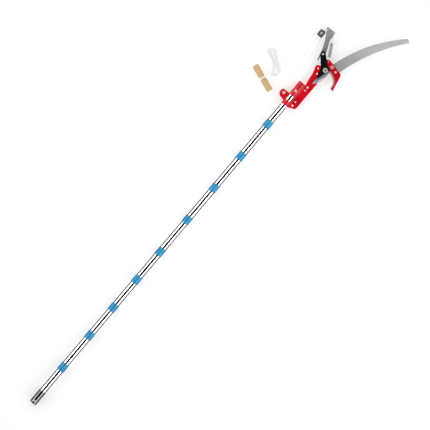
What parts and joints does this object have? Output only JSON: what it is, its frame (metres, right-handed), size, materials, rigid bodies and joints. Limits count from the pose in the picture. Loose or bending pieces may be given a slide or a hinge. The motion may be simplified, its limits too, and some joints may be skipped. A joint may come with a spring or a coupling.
{
  "type": "pole saw",
  "caption": "Pole pruner in screwed tube sections: a sprung lopper worked by a pulley cord with a pull handle, beside a curved pruning saw.",
  "frame": {"origin": "centre of the butt cap's end face, on the pole's axis", "axes": "+X along the pole from the butt to the head, +Y towards the lever and its cord, +Z out of the lopper's front"},
  "size_m": [1.8835, 0.3841, 0.032],
  "materials": {
    "tube": "polished stainless tube",
    "ferrule": "turned",
    "collar": "blue moulded",
    "cap": "black moulded, glossy",
    "red_paint": "glossy red powder coat",
    "saw_steel": "plain pressed steel",
    "blade_steel": "black coated, bare ground edge",
    "lever_steel": "grey plated",
    "block_black": "black",
    "block_steel": "bright",
    "handle_wood": "turned, unvarnished",
    "cord": "braided white cord",
    "zinc": "zinc plated"
  },
  "bodies": {
    "head": {"tube_10": "tube", "ferrules_10": "ferrule", "front_shell": "red_paint", "back_shell": "red_paint", "hook_jaw": "red_paint", "saw_blade": "saw_steel", "saw_bolt": "zinc", "saw_rivet": "zinc", "jaw_rivet": "zinc", "shell_rivets": "zinc", "sleeve_screw": "zinc", "hex_nuts": "zinc", "pivot_bolt": "zinc", "pivot_washer": "zinc", "pivot_nut": "zinc", "lower_axle": "zinc", "return_spring": "zinc", "cord_tackle": "cord", "cord_lead": "cord", "cord_tail": "cord", "cord_hank": "cord"},
    "lopper_blade": {"cutting_blade": "blade_steel", "lever_arm": "lever_steel", "lever_rivet": "zinc"},
    "lower_pulley": {"lower_sheave": "block_steel"},
    "block": {"block_frame": "block_black", "block_cheeks": "block_steel", "block_pins": "block_black", "block_link": "zinc", "becket_knot": "cord"},
    "upper_pulley": {"upper_sheave": "block_steel"},
    "handle": {"pull_handle": "handle_wood"},
    "section_9": {"tube_9": "tube", "ferrules_9": "ferrule"},
    "collar_9": {"collar_9": "collar"},
    "section_8": {"tube_8": "tube", "ferrules_8": "ferrule"},
    "collar_8": {"collar_8": "collar"},
    "section_7": {"tube_7": "tube", "ferrules_7": "ferrule"},
    "collar_7": {"collar_7": "collar"},
    "section_6": {"tube_6": "tube", "ferrules_6": "ferrule"},
    "collar_6": {"collar_6": "collar"},
    "section_5": {"tube_5": "tube", "ferrules_5": "ferrule"},
    "collar_5": {"collar_5": "collar"},
    "section_4": {"tube_4": "tube", "ferrules_4": "ferrule"},
    "collar_4": {"collar_4": "collar"},
    "section_3": {"tube_3": "tube", "ferrules_3": "ferrule"},
    "collar_3": {"collar_3": "collar"},
    "section_2": {"tube_2": "tube", "ferrules_2": "ferrule"},
    "collar_2": {"collar_2": "collar"},
    "section_1": {"tube_1": "tube", "ferrules_1": "ferrule", "butt_cap": "cap"},
    "collar_1": {"collar_1": "collar"}
  },
  "joints": [
    {"name": "blade_pivot", "type": "hinge", "parent": "head", "child": "lopper_blade", "pos_m": [1.6035, -0.0334, 0], "axis": [0, 0, 1], "range_deg": [0, 62], "stiffness_Nm_per_rad": 1, "springref_deg": -20.05, "deforming": ["return_spring", "cord_tackle", "cord_lead"]},
    {"name": "block_swivel", "type": "hinge", "parent": "lopper_blade", "child": "block", "pos_m": [1.7223, 0.0542, 0], "axis": [0, 0, 1], "range_deg": [-12, 2]},
    {"name": "lower_pulley_spin", "type": "hinge", "parent": "head", "child": "lower_pulley", "pos_m": [1.4457, 0.0296, 0], "axis": [0, 0, 1], "continuous": true},
    {"name": "upper_pulley_spin", "type": "hinge", "parent": "block", "child": "upper_pulley", "pos_m": [1.698, 0.0639, 0], "axis": [0, 0, 1], "continuous": true},
    {"name": "handle_pull", "type": "slide", "parent": "head", "child": "handle", "axis": [-0.9845, 0.1755, 0], "range_m": [0, 0.04], "deforming": ["cord_tail"]},
    {"name": "collar_9_turn", "type": "hinge", "parent": "head", "child": "collar_9", "pos_m": [1.321, 0, 0], "axis": [1, 0, 0], "range_deg": [0, 1800]},
    {"name": "section_9_draw", "type": "slide", "parent": "head", "child": "section_9", "axis": [-1, 0, 0], "range_m": [0, 0.015]},
    {"name": "collar_8_turn", "type": "hinge", "parent": "section_9", "child": "collar_8", "pos_m": [1.17, 0, 0], "axis": [1, 0, 0], "range_deg": [0, 1800]},
    {"name": "section_8_draw", "type": "slide", "parent": "section_9", "child": "section_8", "axis": [-1, 0, 0], "range_m": [0, 0.015]},
    {"name": "collar_7_turn", "type": "hinge", "parent": "section_8", "child": "collar_7", "pos_m": [1.019, 0, 0], "axis": [1, 0, 0], "range_deg": [0, 1800]},
    {"name": "section_7_draw", "type": "slide", "parent": "section_8", "child": "section_7", "axis": [-1, 0, 0], "range_m": [0, 0.015]},
    {"name": "collar_6_turn", "type": "hinge", "parent": "section_7", "child": "collar_6", "pos_m": [0.868, 0, 0], "axis": [1, 0, 0], "range_deg": [0, 1800]},
    {"name": "section_6_draw", "type": "slide", "parent": "section_7", "child": "section_6", "axis": [-1, 0, 0], "range_m": [0, 0.015]},
    {"name": "collar_5_turn", "type": "hinge", "parent": "section_6", "child": "collar_5", "pos_m": [0.717, 0, 0], "axis": [1, 0, 0], "range_deg": [0, 1800]},
    {"name": "section_5_draw", "type": "slide", "parent": "section_6", "child": "section_5", "axis": [-1, 0, 0], "range_m": [0, 0.015]},
    {"name": "collar_4_turn", "type": "hinge", "parent": "section_5", "child": "collar_4", "pos_m": [0.585, 0, 0], "axis": [1, 0, 0], "range_deg": [0, 1800]},
    {"name": "section_4_draw", "type": "slide", "parent": "section_5", "child": "section_4", "axis": [-1, 0, 0], "range_m": [0, 0.015]},
    {"name": "collar_3_turn", "type": "hinge", "parent": "section_4", "child": "collar_3", "pos_m": [0.453, 0, 0], "axis": [1, 0, 0], "range_deg": [0, 1800]},
    {"name": "section_3_draw", "type": "slide", "parent": "section_4", "child": "section_3", "axis": [-1, 0, 0], "range_m": [0, 0.015]},
    {"name": "collar_2_turn", "type": "hinge", "parent": "section_3", "child": "collar_2", "pos_m": [0.321, 0, 0], "axis": [1, 0, 0], "range_deg": [0, 1800]},
    {"name": "section_2_draw", "type": "slide", "parent": "section_3", "child": "section_2", "axis": [-1, 0, 0], "range_m": [0, 0.015]},
    {"name": "collar_1_turn", "type": "hinge", "parent": "section_2", "child": "collar_1", "pos_m": [0.17, 0, 0], "axis": [1, 0, 0], "range_deg": [0, 1800]},
    {"name": "section_1_draw", "type": "slide", "parent": "section_2", "child": "section_1", "axis": [-1, 0, 0], "range_m": [0, 0.015]}
  ],
  "couplings": [
    {"joint": "lower_pulley_spin", "follows": "blade_pivot", "ratio": 11.06},
    {"joint": "upper_pulley_spin", "follows": "blade_pivot", "ratio": 29.397},
    {"joint": "collar_9_turn", "follows": "section_9_draw", "rad_per_m": 2094.4},
    {"joint": "collar_8_turn", "follows": "section_8_draw", "rad_per_m": 2094.4},
    {"joint": "collar_7_turn", "follows": "section_7_draw", "rad_per_m": 2094.4},
    {"joint": "collar_6_turn", "follows": "section_6_draw", "rad_per_m": 2094.4},
    {"joint": "collar_5_turn", "follows": "section_5_draw", "rad_per_m": 2094.4},
    {"joint": "collar_4_turn", "follows": "section_4_draw", "rad_per_m": 2094.4},
    {"joint": "collar_3_turn", "follows": "section_3_draw", "rad_per_m": 2094.4},
    {"joint": "collar_2_turn", "follows": "section_2_draw", "rad_per_m": 2094.4},
    {"joint": "collar_1_turn", "follows": "section_1_draw", "rad_per_m": 2094.4}
  ]
}
